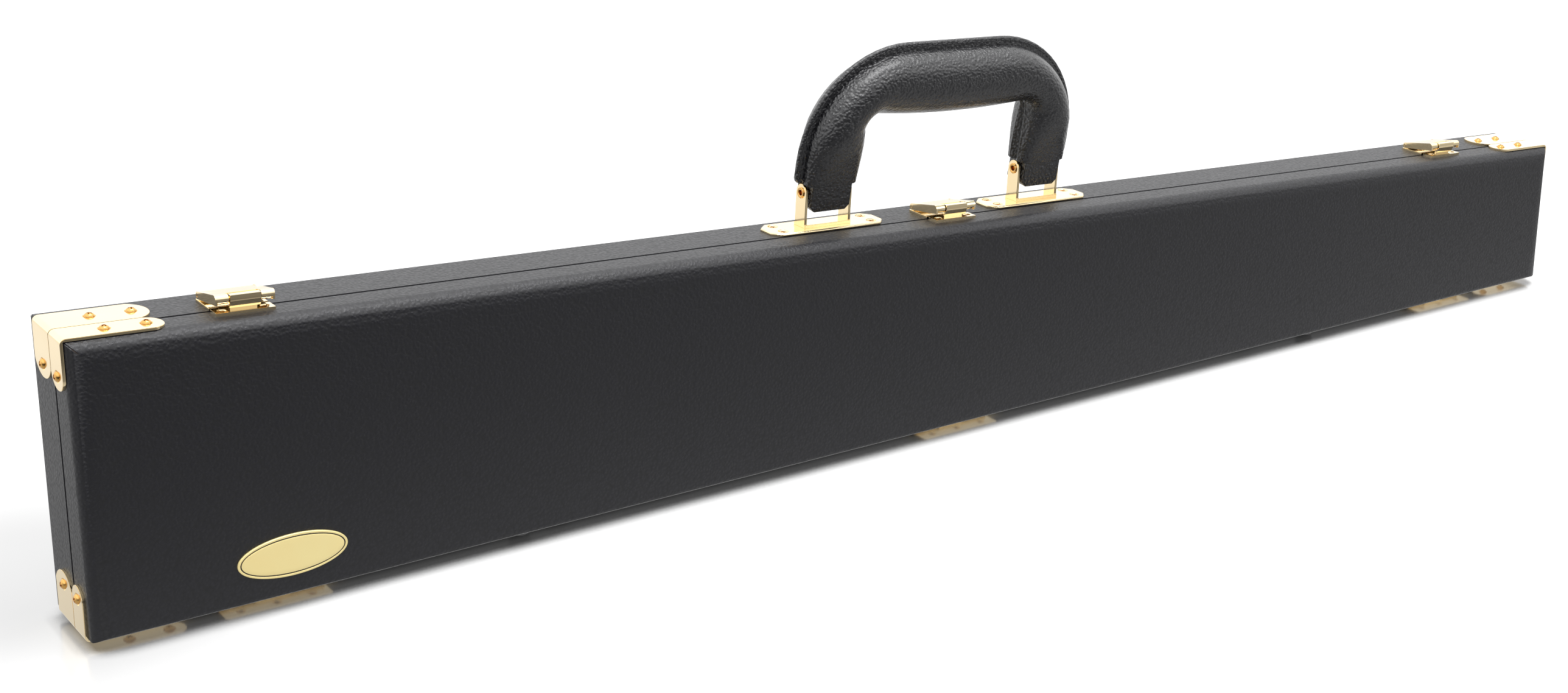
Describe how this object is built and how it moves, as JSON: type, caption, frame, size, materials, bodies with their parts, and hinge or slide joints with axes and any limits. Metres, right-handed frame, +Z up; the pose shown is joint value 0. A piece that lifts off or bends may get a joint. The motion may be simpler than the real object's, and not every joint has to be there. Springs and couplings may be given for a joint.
{
  "type": "cello bow case",
  "caption": "Slim tapered case for cello bows: a leather-covered wooden base and hinged lid with brass corners, over-centre latches and a swinging handle.",
  "frame": {"origin": "centre of the bounding box at the floor under the feet", "axes": "+X towards the tip end, -Y towards the lid's front face, +Z up"},
  "size_m": [0.762, 0.039, 0.1708],
  "materials": {
    "case_leather": "satin grained",
    "box_wood": "matt",
    "brass": "polished",
    "pin_steel": "satin",
    "lining": "velvet",
    "clip_black": "matt",
    "foot_rubber": "matt",
    "grip_leather": "satin grained",
    "badge_brass": "satin"
  },
  "bodies": {
    "base": {"base_shell": "box_wood", "base_cover": "case_leather", "base_lining": "lining", "base_rim": "lining", "base_corner_brackets": "brass", "base_hinge_leaves": "brass", "base_feet": "foot_rubber", "latch_base_frog": "brass", "latch_base_middle": "brass", "latch_base_tip": "brass", "handle_plate_frog": "brass", "handle_plate_tip": "brass", "handle_strap_frog": "brass", "handle_strap_tip": "brass", "handle_pins": "brass", "frog_cradle": "lining", "tip_cradle": "lining", "clip_posts": "pin_steel"},
    "lid": {"lid_shell": "box_wood", "lid_cover": "case_leather", "lid_lining": "lining", "lid_corner_brackets": "brass", "lid_hinge_leaves": "brass", "lid_feet": "foot_rubber", "latch_keeper_frog": "brass", "latch_keeper_middle": "brass", "latch_keeper_tip": "brass", "badge_plate": "badge_brass"},
    "handle": {"handle_grip": "grip_leather", "handle_welt": "grip_leather", "handle_ends": "grip_leather"},
    "yoke_frog": {"latch_yoke_frog": "brass"},
    "tab_frog": {"latch_tab_frog": "brass"},
    "yoke_middle": {"latch_yoke_middle": "brass"},
    "tab_middle": {"latch_tab_middle": "brass"},
    "yoke_tip": {"latch_yoke_tip": "brass"},
    "tab_tip": {"latch_tab_tip": "brass"},
    "clip_lower": {"bow_clip_lower": "clip_black"},
    "clip_upper": {"bow_clip_upper": "clip_black"}
  },
  "joints": [
    {"name": "lid_hinge", "type": "hinge", "parent": "base", "child": "lid", "pos_m": [0, -0.0025, 0.0016], "axis": [1, 0, 0], "range_deg": [0, 180]},
    {"name": "handle_swing", "type": "hinge", "parent": "base", "child": "handle", "pos_m": [-0.00976, 0.0057, 0.10809], "axis": [0.9988, 0, -0.0481], "range_deg": [-103, 87]},
    {"name": "latch_frog_yoke", "type": "hinge", "parent": "base", "child": "yoke_frog", "pos_m": [-0.31638, 0.0091, 0.11004], "axis": [-0.9988, 0, 0.0481], "range_deg": [0, 110]},
    {"name": "latch_frog_tab", "type": "hinge", "parent": "yoke_frog", "child": "tab_frog", "pos_m": [-0.31625, -0.0063, 0.11264], "axis": [-0.9988, 0, 0.0481], "range_deg": [0, 100]},
    {"name": "latch_middle_yoke", "type": "hinge", "parent": "base", "child": "yoke_middle", "pos_m": [-0.00738, 0.0091, 0.09516], "axis": [-0.9988, 0, 0.0481], "range_deg": [0, 110]},
    {"name": "latch_middle_tab", "type": "hinge", "parent": "yoke_middle", "child": "tab_middle", "pos_m": [-0.00725, -0.0063, 0.09776], "axis": [-0.9988, 0, 0.0481], "range_deg": [0, 100]},
    {"name": "latch_tip_yoke", "type": "hinge", "parent": "base", "child": "yoke_tip", "pos_m": [0.30762, 0.0091, 0.07999], "axis": [-0.9988, 0, 0.0481], "range_deg": [0, 110]},
    {"name": "latch_tip_tab", "type": "hinge", "parent": "yoke_tip", "child": "tab_tip", "pos_m": [0.30775, -0.0063, 0.08259], "axis": [-0.9988, 0, 0.0481], "range_deg": [0, 100]},
    {"name": "clip_lower_turn", "type": "hinge", "parent": "base", "child": "clip_lower", "pos_m": [0.3, -0.0018, 0.03572], "axis": [0, 1, 0], "range_deg": [-90, 0]},
    {"name": "clip_upper_turn", "type": "hinge", "parent": "base", "child": "clip_upper", "pos_m": [0.3, -0.0018, 0.04572], "axis": [0, 1, 0], "range_deg": [0, 90]}
  ]
}
